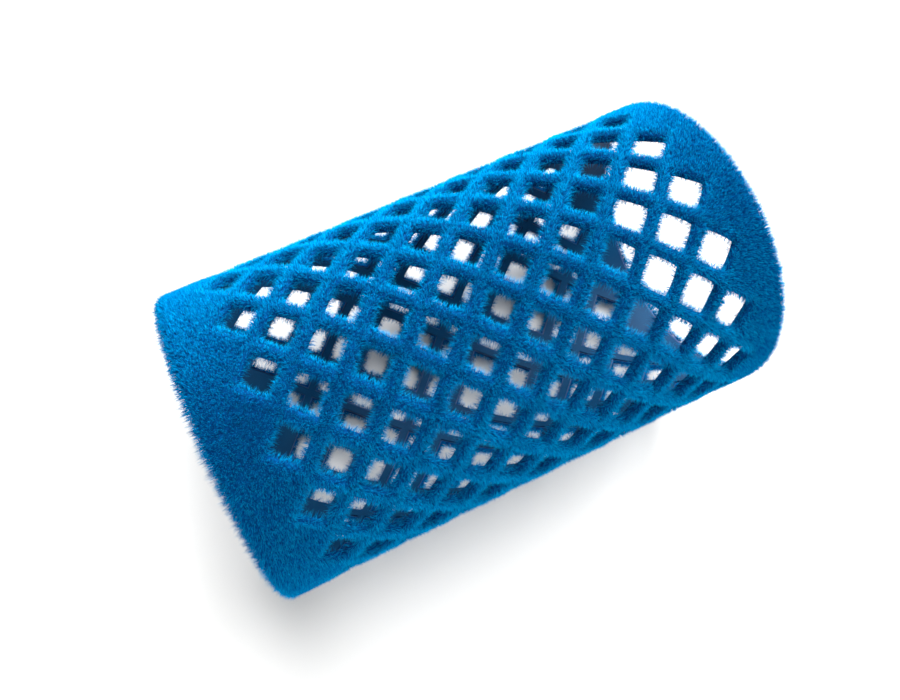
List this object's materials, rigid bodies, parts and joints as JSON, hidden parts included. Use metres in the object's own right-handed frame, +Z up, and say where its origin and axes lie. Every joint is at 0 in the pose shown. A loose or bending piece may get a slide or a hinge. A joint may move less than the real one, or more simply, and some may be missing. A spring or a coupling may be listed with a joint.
{
  "type": "hair roller",
  "caption": "Hair roller: a short open plastic mesh tube with staggered diamond windows, flocked with dense nylon pile outside, on its rims and round its windows, and bare inside.",
  "frame": {"origin": "on the tube's axis at mid-length, at the middle of the part's box", "axes": "+X along the tube's axis, towards the end whose plain band is the narrower; +Z up as the roller lies on its side on a table"},
  "size_m": [0.06, 0.036, 0.036],
  "materials": {
    "moulded_plastic": "smooth moulded plastic, dark navy blue, satin",
    "adhesive": "thin set film of flocking adhesive, dark blue",
    "flock": "dense upright nylon flock, azure blue, lighter at the tips"
  },
  "bodies": {
    "root": {"core_tube": "moulded_plastic", "glue_film": "adhesive", "outer_pile": "flock", "left_rim_pile": "flock", "right_rim_pile": "flock", "window_pile": "flock"}
  },
  "joints": []
}
